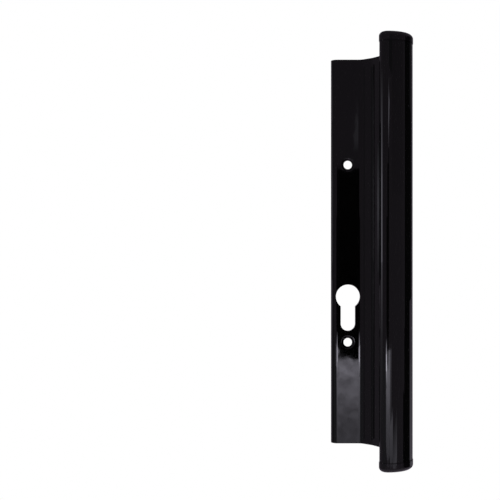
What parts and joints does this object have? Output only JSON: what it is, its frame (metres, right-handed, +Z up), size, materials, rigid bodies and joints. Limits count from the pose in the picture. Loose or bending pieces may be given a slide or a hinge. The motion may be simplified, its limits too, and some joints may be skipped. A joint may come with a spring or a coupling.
{
  "type": "sliding patio door handle",
  "caption": "Sliding door pull handle: flat fixing plate with countersunk holes and a profile cylinder cut-out, a hollow-curved web and an oval tubular grip with end caps.",
  "frame": {"origin": "on the door face, midway between the fixing screws", "axes": "+Z up along the handle, +Y into the door, +X across the door from the plate's free edge towards the grip"},
  "size_m": [0.0556, 0.0412, 0.3036],
  "materials": {
    "coated_aluminium": "gloss black powder coat",
    "moulded_cap": "black, moulded gloss"
  },
  "bodies": {
    "root": {"handle_extrusion": "coated_aluminium", "top_end_cap": "moulded_cap", "bottom_end_cap": "moulded_cap"}
  },
  "joints": []
}
